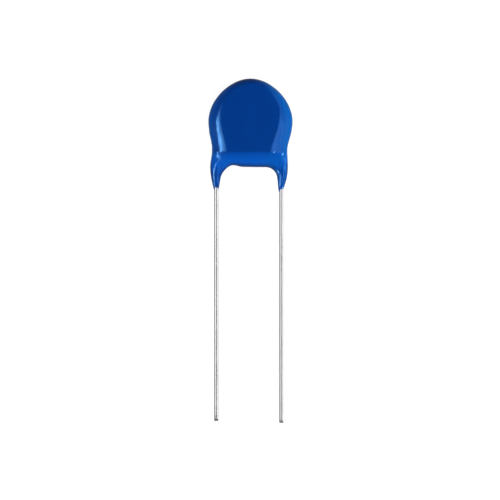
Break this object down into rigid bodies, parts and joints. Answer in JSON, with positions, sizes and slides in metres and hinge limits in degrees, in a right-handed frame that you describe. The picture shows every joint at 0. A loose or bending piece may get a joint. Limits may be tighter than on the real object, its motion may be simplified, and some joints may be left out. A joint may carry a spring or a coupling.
{
  "type": "ceramic disc capacitor",
  "caption": "Ceramic disc capacitor dipped in glossy blue epoxy, with long straight radial wire leads for mounting through a circuit board. It lies on its flat back.",
  "frame": {"origin": "on the coating's flat back, level with the ceramic disc's centre along Y and midway between the two leads along X", "axes": "+X from the left lead to the right lead, +Y away from the leads towards the crown, +Z out of the front face; the leads run along -Y"},
  "size_m": [0.013, 0.0531, 0.0048],
  "materials": {
    "blue_epoxy": "glossy dip-coated epoxy, opaque royal blue",
    "fired_ceramic": "matt, fine-grained",
    "silver_film": "matt fired silver film",
    "solder": "bright, slightly frosted solder",
    "tinned_wire": "bright tin plating with fine drawing lines along the wire"
  },
  "bodies": {
    "root": {"epoxy_coating": "blue_epoxy", "ceramic_disc": "fired_ceramic", "front_electrode": "silver_film", "back_electrode": "silver_film", "front_solder": "solder", "back_solder": "solder", "left_lead": "tinned_wire", "right_lead": "tinned_wire"}
  },
  "joints": []
}
